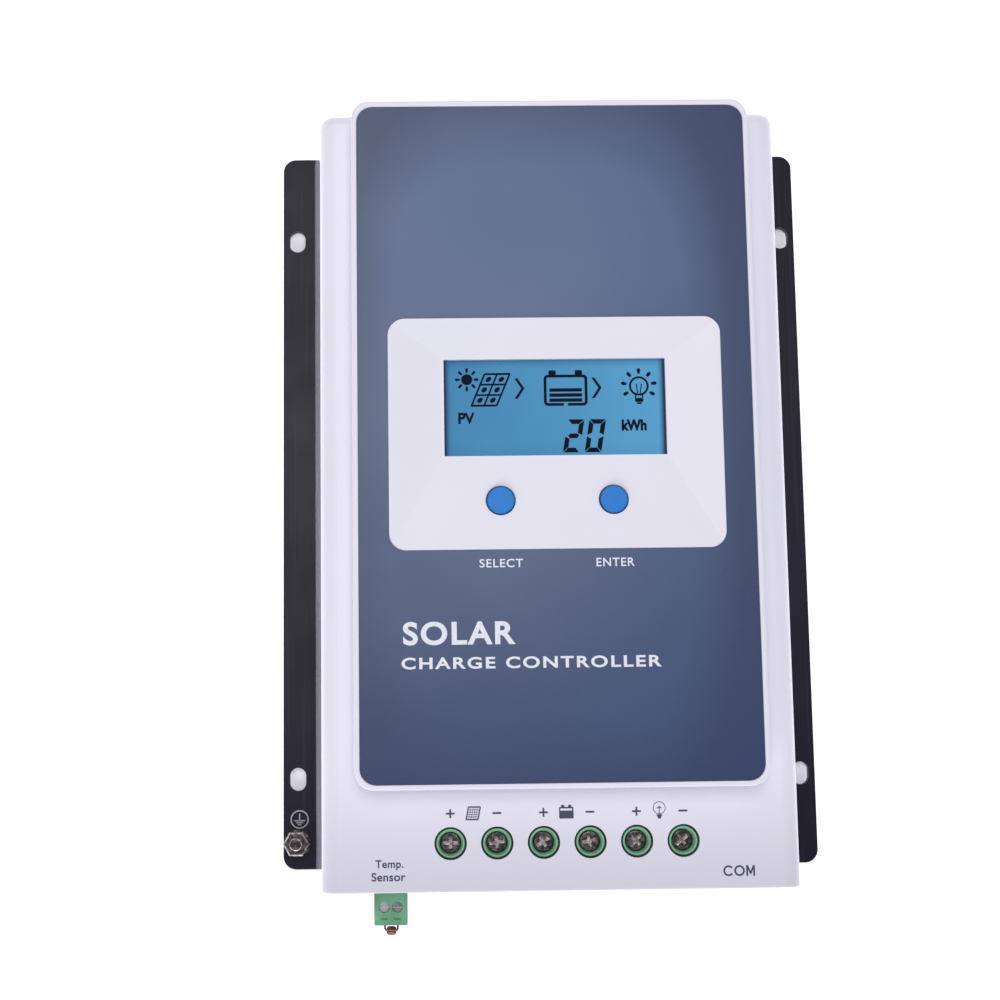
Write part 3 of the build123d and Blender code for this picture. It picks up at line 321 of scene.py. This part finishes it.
def dark_steel():
    """Blackened plating with stains, and painted glints that make its edges and the clamp screws'
    recesses bright.
    """
    graph = Graph("dark_steel", Metallic=1.0)
    patches = graph.spread(graph.noise(900, 3), 0.44, 0.6)
    plated = graph.mix(patches, linear(58, 54, 54), linear(112, 104, 104))
    up = graph.upward()
    # Painted highlight: slanted edges are painted bright.
    painted_edge_glint = graph.math(
        "MULTIPLY", graph.spread(up, 0.3, 0.5), graph.spread(up, 0.9, 0.97, 1.0, 0.0)
    )
    _, _, z = graph.axes()
    # Painted glints: the clamp screws' recesses are painted bright.
    below_rim = graph.spread(z, CLAMP_HEAD_TOP - 0.8 * MM, CLAMP_HEAD_TOP - 0.3 * MM, 1.0, 0.0)
    in_head = graph.spread(z, CLAMP_HEAD_TOP - 2.0 * MM, CLAMP_HEAD_TOP - 1.6 * MM)
    painted_recess_glint = graph.math("MULTIPLY", graph.math("MULTIPLY", below_rim, in_head), 0.66)
    glints = graph.spread(graph.noise(1300, 2), 0.4, 0.62, 0.25, 1.0)
    # Painted glints: edges and recesses mixed towards a bright colour, broken up by noise.
    painted_glint_mask = graph.math("MULTIPLY", graph.math("MAXIMUM", painted_recess_glint, painted_edge_glint), glints)
    graph.feed("Base Color", graph.mix(painted_glint_mask, plated, linear(222, 214, 210)))
    graph.feed("Roughness", graph.spread(patches, 0.0, 1.0, 0.40, 0.26))
    graph.bump(graph.noise(1100, 3), 0.3, 0.05 * MM)
    return graph.material


def button_blue():
    """Blue caps with a fine satin grain, and painted shade that darkens them down their sides."""
    graph = Graph("button_blue", Specular_IOR_Level=0.35)
    tone = graph.mix(graph.drift(60, 4), linear(12, 118, 206), linear(18, 126, 214))
    # Painted shade: the caps darken down their sides.
    side = graph.spread(graph.upward(), 0.45, 0.85, 1.0, 0.0)
    graph.feed("Base Color", graph.mix(side, tone, linear(16, 46, 86)))
    graph.feed("Roughness", graph.drift(140, 3, 0.38, 0.48))
    graph.bump(graph.noise(1200, 2), 0.1, 0.02 * MM)
    return graph.material


def capacitor_sleeve():
    """Aluminium can whose side is shrink-wrapped in dark printed film."""
    graph = Graph("capacitor_sleeve", Coat_Weight=0.3)
    bare = graph.spread(graph.upward(), 0.6, 0.9)
    film = graph.mix(graph.drift(120), linear(26, 30, 48), linear(34, 38, 58))
    graph.feed("Base Color", graph.mix(bare, film, linear(190, 190, 192)))
    graph.feed("Metallic", bare)
    graph.feed("Roughness", graph.drift(90, 3, 0.25, 0.4))
    return graph.material


DETAILED_SLOTS = {
    "black_anodised": black_anodised,
    "white_plastic": white_plastic,
    "label_blue": label_blue,
    "lcd_glass": lcd_glass,
    "circuit_board": circuit_board,
    "terminal_green": terminal_green,
    "dark_steel": dark_steel,
    "button_blue": button_blue,
    "capacitor_sleeve": capacitor_sleeve,
}

# Colour, darker colour and roughness.
METAL_SLOTS = {
    "steel": ((196, 196, 198), (140, 140, 144), 0.3),
    "brass": ((206, 176, 110), (160, 130, 74), 0.3),
    "tinned_copper": ((206, 204, 198), (160, 156, 148), 0.28),
    "gold": ((226, 190, 106), (196, 152, 70), 0.22),
    "copper_wire": ((206, 120, 78), (160, 80, 46), 0.28),
}

# Colour, darker colour, roughness, and what differs from the usual moulding.
MOULDED_SLOTS = {
    "lcd_backlight": ((214, 232, 244), (200, 222, 238), 0.3, {}),
    "black_plastic": ((34, 34, 36), (26, 26, 28), 0.45, {"grain": 1400, "bump": 0.15}),
    "plug_green": (
        (112, 176, 134), (92, 152, 112), 0.36, {"grain": 1300, "bump": 0.12, "mottle": 240},
    ),
    "bead_brown": (
        (150, 66, 52), (96, 36, 30), 0.22, {"mottle": 500, "Coat_Weight": 0.5},
    ),
    "ferrite": ((96, 108, 92), (70, 82, 68), 0.5, {"grain": 800, "bump": 0.3}),
    "black_epoxy": ((44, 44, 46), (34, 34, 36), 0.55, {"grain": 2000, "bump": 0.25}),
    "thermal_pad": ((150, 154, 158), (134, 138, 142), 0.7, {"grain": 600, "bump": 0.2}),
    "fuse_orange": ((226, 120, 44), (206, 96, 30), 0.25, {"Transmission_Weight": 0.3}),
    "connector_white": ((226, 222, 210), (214, 208, 194), 0.4, {}),
    "cable_grey": ((150, 152, 156), (132, 134, 138), 0.5, {"grain": 500, "bump": 0.2}),
}


def paint_cad_nodes():
    """Gives each CAD node the material of its slot in the record."""
    made = {slot: build() for slot, build in DETAILED_SLOTS.items()}
    for slot, look in METAL_SLOTS.items():
        made[slot] = metal(slot, *look)
    for slot, (*look, options) in MOULDED_SLOTS.items():
        made[slot] = moulded(slot, *look, **options)
    for name, node in frame["nodes"].items():
        node.data.materials.clear()
        node.data.materials.append(made[SLOT_OF[name]])


# ------------------------------------------------------------------ printed shapes

def flat_mesh(name, curve):
    """The mesh that a flat curve or text gives."""
    source = bpy.data.objects.new(name + "_source", curve)
    bpy.context.scene.collection.objects.link(source)
    graph = bpy.context.evaluated_depsgraph_get()
    mesh = bpy.data.meshes.new_from_object(source.evaluated_get(graph))
    bpy.data.objects.remove(source)
    return mesh


def set_down(name, mesh, z, material):
    """Makes a mesh a printed piece at height z, fixed to the unit."""
    mesh.shade_flat()
    mesh.materials.clear()
    mesh.materials.append(material)
    piece = bpy.data.objects.new(name, mesh)
    piece.location.z = z
    bpy.context.scene.collection.objects.link(piece)
    bpy.context.view_layer.update()
    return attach(piece, "root")


def printed(name, loops, z, material):
    """Flat ink of closed outlines, in metres; an outline inside another is a hole."""
    curve = bpy.data.curves.new(name, "CURVE")
    curve.dimensions = "2D"
    curve.fill_mode = "BOTH"
    curve.extrude = INK / 2
    for loop in loops:
        spline = curve.splines.new("POLY")
        spline.points.add(len(loop) - 1)
        for point, (x, y) in zip(spline.points, loop):
            point.co = (x, y, 0, 1)
        spline.use_cyclic_u = True
    return set_down(name, flat_mesh(name, curve), z + INK / 2, material)


def lettering(name, text, low, high, z, material, weight=0.0, spacing=1.0):
    """Text fitted to the box between two corners, in metres."""
    curve = bpy.data.curves.new(name, "FONT")
    curve.body = text
    curve.size = 1.0
    curve.offset = weight
    curve.space_character = spacing
    mesh = flat_mesh(name, curve)
    xs = [v.co.x for v in mesh.vertices]
    ys = [v.co.y for v in mesh.vertices]
    left, bottom = min(xs), min(ys)
    scale_x = (high[0] - low[0]) / (max(xs) - left)
    scale_y = (high[1] - low[1]) / (max(ys) - bottom)
    for vertex, x, y in zip(mesh.vertices, xs, ys):
        vertex.co = (low[0] + (x - left) * scale_x, low[1] + (y - bottom) * scale_y, 0.0)
    thicken(mesh, INK)
    return set_down(name, mesh, z, material)


def thicken(mesh, height):
    """Makes a flat mesh a closed slab of that height."""
    work = bmesh.new()
    work.from_mesh(mesh)
    bmesh.ops.remove_doubles(work, verts=work.verts, dist=1e-7)
    raised = bmesh.ops.extrude_face_region(work, geom=list(work.faces))
    up = [v for v in raised["geom"] if isinstance(v, bmesh.types.BMVert)]
    bmesh.ops.translate(work, verts=up, vec=(0, 0, height))
    bmesh.ops.recalc_face_normals(work, faces=work.faces)
    work.to_mesh(mesh)
    work.free()


def ring(x, y, radius, count=40):
    """Points round a circle."""
    angles = [2 * math.pi * i / count for i in range(count)]
    return [(x + radius * math.cos(a), y + radius * math.sin(a)) for a in angles]


def rect(x0, y0, x1, y1):
    """A rectangle between two corners."""
    return [(x0, y0), (x1, y0), (x1, y1), (x0, y1)]


def rounded(x0, y0, x1, y1, radius, steps=6):
    """A rectangle with rounded corners, from the bottom right corner anticlockwise."""
    points = []
    corners = (
        (x1 - radius, y0 + radius), (x1 - radius, y1 - radius),
        (x0 + radius, y1 - radius), (x0 + radius, y0 + radius),
    )
    for quarter, (cx, cy) in enumerate(corners):
        for i in range(steps + 1):
            angle = math.pi / 2 * (quarter - 1 + i / steps)
            points.append((cx + radius * math.cos(angle), cy + radius * math.sin(angle)))
    return points


def bar(start, end, width):
    """A straight stroke between two points, as one outline."""
    a, b = Vector(start), Vector(end)
    side = (b - a).normalized().orthogonal() * width / 2
    return [tuple(a + side), tuple(a - side), tuple(b - side), tuple(b + side)]


def turned(point, quarters):
    """A point turned about the origin by a number of quarter turns."""
    x, y = point
    for _ in range(quarters):
        x, y = -y, x
    return (x, y)


def sheared(loops, lean):
    """Leans outlines to the right by lean per unit of height."""
    return [[(x + y * lean, y) for x, y in loop] for loop in loops]


def scaled(loops, at, size):
    """Moves outlines drawn around the origin in units of size to a place, in metres."""
    return [[(at[0] + x * size, at[1] + y * size) for x, y in loop] for loop in loops]


# --------------------------------------------------------------------- pictograms

def panel_loops(columns, rows, width, border, line):
    """A panel two units high: an outline and its cells as holes, before leaning."""
    loops = [rounded(-width / 2, -1.0, width / 2, 1.0, border * 0.8)]
    cell_w = (width - 2 * border - line * (columns - 1)) / columns
    cell_h = (2.0 - 2 * border - line * (rows - 1)) / rows
    for i in range(columns):
        for j in range(rows):
            x = -width / 2 + border + i * (cell_w + line)
            y = -1.0 + border + j * (cell_h + line)
            loops.append(rect(x, y, x + cell_w, y + cell_h))
    return loops


def small_battery_loops():
    """A battery four units wide: a full case with a lighter band, and two poles."""
    poles = [
        [(x - 0.55, 1.4), (x + 0.55, 1.4), (x + 0.35, 2.05), (x - 0.35, 2.05)]
        for x in (-1.0, 1.0)
    ]
    return [rounded(-2.05, -1.8, 2.05, 1.45, 0.3), rect(-1.65, 0.42, 1.65, 1.02)] + poles


def small_bulb_loops():
    """A lamp nearly five units high: thin glass and a solid cap."""
    glass = [ring(0, 0.85, 1.8), ring(0, 0.85, 1.6)]
    cap = [(-0.85, -1.0), (0.85, -1.0), (0.3, -2.15), (-0.3, -2.15)]
    return glass + [cap]


def small_filament_loops():
    """The lamp's filament: a stem that ends in an arrow head."""
    stem = [
        (-0.12, -0.92), (0.12, -0.92), (0.12, 0.95), (0.62, 0.62), (0.72, 0.85), (0.0, 1.4),
        (-0.72, 0.85), (-0.62, 0.62), (-0.12, 0.95),
    ]
    return [stem]


def rays(inner, outer, width, count, start=0.0, sweep=2 * math.pi):
    """Short strokes round the origin, widest near their outer ends."""
    steps = count if sweep >= 2 * math.pi else count - 1
    profile = ((inner, width * 0.3), (outer - width / 2, width / 2), (outer, width / 4))
    loops = []
    for i in range(count):
        angle = start + sweep * i / steps
        out = Vector((math.cos(angle), math.sin(angle)))
        side = out.orthogonal()
        one_edge = [tuple(out * distance + side * half) for distance, half in profile]
        other_edge = [tuple(out * distance - side * half) for distance, half in profile]
        loops.append(one_edge + other_edge[::-1])
    return loops


def seven_segment(lit, x, y, width, height, line):
    """One digit as mitred bars; lit names the segments from a (top) to g (middle)."""
    gap = line * 0.14
    middle = height / 2
    shapes = {
        "a": [
            (gap, height), (width - gap, height), (width - line, height - line),
            (line, height - line),
        ],
        "b": [
            (width, height - gap), (width, middle + gap), (width - line, middle + line / 2 + gap),
            (width - line, height - line - gap),
        ],
        "c": [
            (width, gap), (width - line, line + gap), (width - line, middle - line / 2 - gap),
            (width, middle - gap),
        ],
        "d": [(gap, 0), (line, line), (width - line, line), (width - gap, 0)],
        "e": [(0, gap), (0, middle - gap), (line, middle - line / 2 - gap), (line, line + gap)],
        "f": [
            (0, height - gap), (line, height - line - gap), (line, middle + line / 2 + gap),
            (0, middle + gap),
        ],
        "g": [
            (line * 0.6, middle), (line, middle + line / 2), (width - line, middle + line / 2),
            (width - line * 0.6, middle), (width - line, middle - line / 2),
            (line, middle - line / 2),
        ],
    }
    return [[(x + px, y + py) for px, py in shapes[s]] for s in lit]


def com_loops(line):
    """The letters C, O and M, three units tall, in a row around the origin."""
    half = 1.5
    c_x, o_x = -3.0, 0.1
    opening = math.radians(38)
    steps = 30
    turn = [opening + (2 * math.pi - 2 * opening) * i / steps for i in range(steps + 1)]

    def arc(radius, angles):
        return [(c_x + radius * math.cos(a), radius * math.sin(a)) for a in angles]

    letter_c = arc(half, turn) + arc(half - line, turn[::-1])
    letter_o = [ring(o_x, 0, half), ring(o_x, 0, half - line)]
    left, middle, right = 2.0, 3.225, 4.45
    shoulder = half - 1.15
    letter_m = [
        (left, -half), (left, half), (left + line, half), (middle, -0.2), (right - line, half),
        (right, half), (right, -half), (right - line, -half), (right - line, shoulder),
        (middle + 0.16, -1.0), (middle - 0.16, -1.0), (left + line, shoulder),
        (left + line, -half),
    ]
    return [letter_c, *letter_o, letter_m]


# ---------------------------------------------------------------------- print work

def ink(name, colour, darker, rough=0.4, **sockets):
    """Matt printing ink with a very fine grain."""
    return moulded(name, colour, darker, rough, grain=1500, bump=0.04, mottle=900, **sockets)


def print_label():
    """White lettering on the front label, in boxes given in millimetres."""
    white = ink("ink_white", (240, 241, 248), (226, 228, 240))
    for name, text, left, bottom, right, top, weight, spacing in (
        ("text_select", "SELECT", -22.4, -23.3, -10.1, -20.9, 0.012, 1.12),
        ("text_enter", "ENTER", 10.7, -23.3, 21.5, -20.9, 0.012, 1.12),
        ("text_title", "SOLAR", -44.2, -45.0, -12.6, -38.4, 0.028, 1.14),
        ("text_subtitle", "CHARGE CONTROLLER", -44.7, -51.7, 28.4, -48.4, 0.026, 1.2),
    ):
        low, high = (left * MM, bottom * MM), (right * MM, top * MM)
        lettering(name, text, low, high, LABEL_TOP, white, weight, spacing)


def pole_x(circuit, pole):
    """The x of a wire terminal's pole."""
    low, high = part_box(f"{circuit}_{pole}_screw")
    return (low.x + high.x) / 2


def print_terminal_marks():
    """Symbols over the wire terminals, and the two socket names."""
    slate = ink("ink_slate", (62, 66, 92), (52, 56, 82))
    row_y = -92.15 * MM
    arm, line = 1.25, 0.27
    quarter = [(-line, -arm), (line, -arm), (line, -line)]
    plus_sign = [turned(point, quarters) for quarters in range(4) for point in quarter]
    minus_sign = rect(-arm, -line, arm, line)
    symbols = {
        "pv": scaled(sheared(panel_loops(5, 5, 1.92, 0.2, 0.085), 0.2), (0, 0), 1.95),
        "battery": small_battery_loops(),
        "load": small_bulb_loops(),
    }

    def mark(name, loops, x):
        printed(f"mark_{name}", scaled(loops, (x, row_y), MM), SHOULDER_TOP, slate)

    for circuit, loops in symbols.items():
        plus, minus = pole_x(circuit, "plus"), pole_x(circuit, "minus")
        middle = (plus + minus) / 2 - 0.1 * MM
        mark(f"{circuit}_plus", [plus_sign], plus)
        mark(f"{circuit}_minus", [minus_sign], minus)
        mark(f"{circuit}_symbol", loops, middle)
        if circuit == "load":
            mark("load_filament", small_filament_loops(), middle)

    for name, text, left, bottom, right, top in (
        ("text_temp", "Temp.", -52.7, -107.7, -44.8, -104.8),
        ("text_sensor", "Sensor", -53.8, -110.7, -44.2, -108.3),
    ):
        low, high = (left * MM, bottom * MM), (right * MM, top * MM)
        lettering(name, text, low, high, SHOULDER_TOP, slate, 0.02, 1.05)
    com = scaled(com_loops(0.5), (50.05 * MM, -109.05 * MM), MM)
    printed("text_com", com, SHOULDER_TOP, slate)


def print_earth_symbol():
    """The earth sign beside the ground stud."""
    pale = ink("ink_pale", (176, 178, 188), (156, 158, 170), 0.6)
    low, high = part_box("ground_washers")
    centre = ((low.x + high.x) / 2 + 0.77 * MM, high.y + 3.1 * MM)
    circle = [ring(0, 0, 2.8), ring(0, 0, 2.42)]
    stem = bar((0, 1.8), (0, -0.35), 0.36)
    bars = [
        rect(-half, level - 0.17, half, level + 0.17)
        for half, level in ((1.7, -0.36), (1.08, -0.95), (0.55, -1.55))
    ]
    for name, loops in (("earth_ring", circle), ("earth_stem", [stem]), ("earth_bars", bars)):
        printed(name, scaled(loops, centre, MM), FLANGE_TOP, pale)


# ---------------------------------------------------------------------- LCD content

def at(u, v):
    """A place on the screen window: u from the left, v from the top, both 0 to 1."""
    return (
        WINDOW_LEFT + u * (WINDOW_RIGHT - WINDOW_LEFT),
        WINDOW_TOP - v * (WINDOW_TOP - WINDOW_BOTTOM),
    )


def lcd_battery_loops():
    """The screen's battery in millimetres: an open case, two poles and three bars."""
    half_w, half_h, line, gap = 6.3, 4.55, 0.8, 0.6
    outer = rounded(-half_w, -half_h, half_w, half_h, 1.2)
    inner = rounded(-half_w + line, -half_h + line, half_w - line, half_h - line, 0.5)
    case = [(gap, -half_h)] + outer + [(-gap, -half_h), (-gap, -half_h + line)]
    case += inner[::-1] + [(gap, -half_h + line)]
    poles = [rounded(x - 1.05, half_h - 0.1, x + 1.05, half_h + 1.3, 0.3) for x in (-3.8, 3.8)]
    bars = [rect(-4.7, y - 0.5, 4.7, y + 0.5) for y in (-2.9, -1.42, 0.06)]
    return case, poles + bars


def lcd_lamp_loops():
    """The screen's lamp in millimetres: its glass, then neck, cap, wires and rays."""
    glass = [ring(0, 0, 2.85), ring(0, 0, 2.25)]
    neck = [bar((side * 1.0, -2.4), (side * 1.0, -3.6), 0.4) for side in (-1, 1)]
    cap = [rounded(-1.2, -4.7, 1.2, -3.5, 0.4), rounded(-0.7, -5.3, 0.7, -4.8, 0.2)]
    wires = [bar((side * 0.75, 0.7), (side * 0.35, -2.2), 0.3) for side in (-1, 1)]
    beams = rays(3.6, 5.2, 1.1, 7, math.radians(-30), math.radians(240))
    return glass, neck + cap + wires + beams


def draw_screen():
    """Dark segments on the glass: sun, panel, battery, lamp and a reading."""
    dark = ink("lcd_segment", (10, 16, 36), (8, 12, 30), 0.6, Specular_IOR_Level=0.1)

    def segment(name, loops, place, size=MM):
        printed(name, scaled(loops, place, size), GLASS_TOP, dark)

    segment("lcd_sun", [ring(0, 0, 1.6)] + rays(2.0, 3.4, 0.85, 8), at(0.1045, 0.198))

    panel_place, panel_unit, panel_lean = at(0.212, 0.306), 4.9 * MM, 0.42
    cells = panel_loops(2, 3, 1.6, 0.12, 0.11)
    dots = [ring(x, y, 0.16, 16) for x in (-0.38, 0.38) for y in (-0.62, 0.0, 0.62)]
    segment("lcd_panel", sheared(cells, panel_lean), panel_place, panel_unit)
    segment("lcd_panel_dots", sheared(dots, panel_lean), panel_place, panel_unit)

    chevron = [(-1.5, 3.0), (-0.6, 3.0), (1.4, 0), (-0.6, -3.0), (-1.5, -3.0), (0.5, 0)]
    segment("lcd_arrow_to_battery", [chevron], at(0.343, 0.295))
    segment("lcd_arrow_to_lamp", [chevron], at(0.692, 0.295))

    case, filling = lcd_battery_loops()
    segment("lcd_battery_case", [case], at(0.551, 0.317))
    segment("lcd_battery_bars", filling, at(0.551, 0.317))

    glass, strokes = lcd_lamp_loops()
    segment("lcd_lamp_glass", glass, at(0.883, 0.28))
    segment("lcd_lamp_strokes", strokes, at(0.883, 0.28))

    for name, text, u, v, wide, tall, weight in (
        ("lcd_source", "PV", 0.101, 0.600, 4.7, 3.3, 0.035),
        ("lcd_unit", "kWh", 0.857, 0.686, 7.2, 3.3, 0.05),
    ):
        x, y = at(u, v)
        low = (x - wide * MM / 2, y - tall * MM / 2)
        high = (x + wide * MM / 2, y + tall * MM / 2)
        lettering(name, text, low, high, GLASS_TOP, dark, weight)

    digit_w, digit_h, line, space = 4.8, 9.6, 1.35, 1.45
    two = seven_segment("abged", 0, 0, digit_w, digit_h, line)
    zero = seven_segment("abcdef", digit_w + space, 0, digit_w, digit_h, line)
    segment("lcd_digits", sheared(two + zero, 0.17), at(0.5325, 0.963))


# ------------------------------------------------------------------ stage and light

FLOOR_REACH = 6.0
FLOOR_DROP = 0.05 * MM
FLOOR_GLOW_UNDER, FLOOR_GLOW_BEYOND = 0.19, 0.7
SKY_COLOUR = (0.94, 0.95, 1.0, 1)
SKY_STRENGTH = 0.395

# Name, place, the point it faces, its two sides and its power in watts.
LAMPS = (
    ("key", (-0.04, 0.27, 1.15), (-0.04, 0.27, 0.0), 0.44, 0.56, 3.7),
    ("front", (-0.33, -1.25, 0.8), (0, 0, 0.03), 1.0, 0.6, 8.4),
    ("back", (0.1, 1.4, 0.5), (0, 0, 0.03), 1.0, 0.6, 1.4),
    ("left", (-1.1, 0.2, 0.8), (0, 0, 0.03), 0.9, 0.9, 0.9),
    ("right", (1.2, 0.2, 0.8), (0, 0, 0.03), 0.9, 0.9, 1.6),
)


def make_floor():
    """A plain pale floor, which glows less under the unit as painted shade, so its slots look
    grey.
    """
    graph = Graph("floor", Roughness=0.9)
    tone = graph.mix(graph.drift(6), linear(246, 244, 253), linear(248, 246, 254))
    graph.feed("Base Color", tone)
    graph.feed("Emission Color", tone)
    x, y, _ = graph.axes()
    # Painted shade: the floor glows less under the unit's footprint.
    beyond_x = graph.spread(graph.math("ABSOLUTE", x), CAD_HIGH.x - 3 * MM, CAD_HIGH.x)
    beyond_y = graph.spread(graph.math("ABSOLUTE", y), CAD_HIGH.y - 8 * MM, CAD_HIGH.y)
    beyond = graph.math("MAXIMUM", beyond_x, beyond_y)
    glow = graph.spread(beyond, 0, 1, FLOOR_GLOW_UNDER, FLOOR_GLOW_BEYOND)
    graph.feed("Emission Strength", glow)
    corners = rect(-FLOOR_REACH, -FLOOR_REACH, FLOOR_REACH, FLOOR_REACH)
    mesh = bpy.data.meshes.new("floor")
    mesh.from_pydata([(x, y, 0) for x, y in corners], [], [(0, 1, 2, 3)])
    mesh.materials.append(graph.material)
    floor = bpy.data.objects.new("floor", mesh)
    floor.location.z = CAD_LOW.z - FLOOR_DROP
    bpy.context.scene.collection.objects.link(floor)


def make_lights():
    """An even sky and soft lamps; the key lamp is the one that the label mirrors."""
    world = bpy.data.worlds.new("sky")
    world.use_nodes = True
    background = world.node_tree.nodes["Background"]
    background.inputs["Color"].default_value = SKY_COLOUR
    background.inputs["Strength"].default_value = SKY_STRENGTH
    bpy.context.scene.world = world
    for name, place, aim, width, length, power in LAMPS:
        light = bpy.data.lights.new(name, "AREA")
        light.shape = "RECTANGLE"
        light.size = width
        light.size_y = length
        light.energy = power
        lamp = bpy.data.objects.new(name, light)
        lamp.location = place
        lamp.rotation_euler = (Vector(aim) - Vector(place)).to_track_quat("-Z", "Y").to_euler()
        bpy.context.scene.collection.objects.link(lamp)


def make_camera():
    """Almost overhead, a little left of the middle and towards the terminals. Its numbers
    come from a fit of the model's outlines and holes to the reference view."""
    data = bpy.data.cameras.new("camera")
    data.sensor_width = 36.0
    data.lens = 61.38
    data.shift_x = 0.05
    data.shift_y = -0.015
    data.clip_start = 0.01
    camera = bpy.data.objects.new("camera", data)
    camera.location = (-0.03809, -0.06356, 0.53473)
    camera.rotation_euler = tuple(math.radians(a) for a in (7.586, -0.814, -0.711))
    bpy.context.scene.collection.objects.link(camera)
    bpy.context.scene.camera = camera


make_camera()
make_floor()
make_lights()
paint_cad_nodes()
print_label()
print_terminal_marks()
print_earth_symbol()
draw_screen()
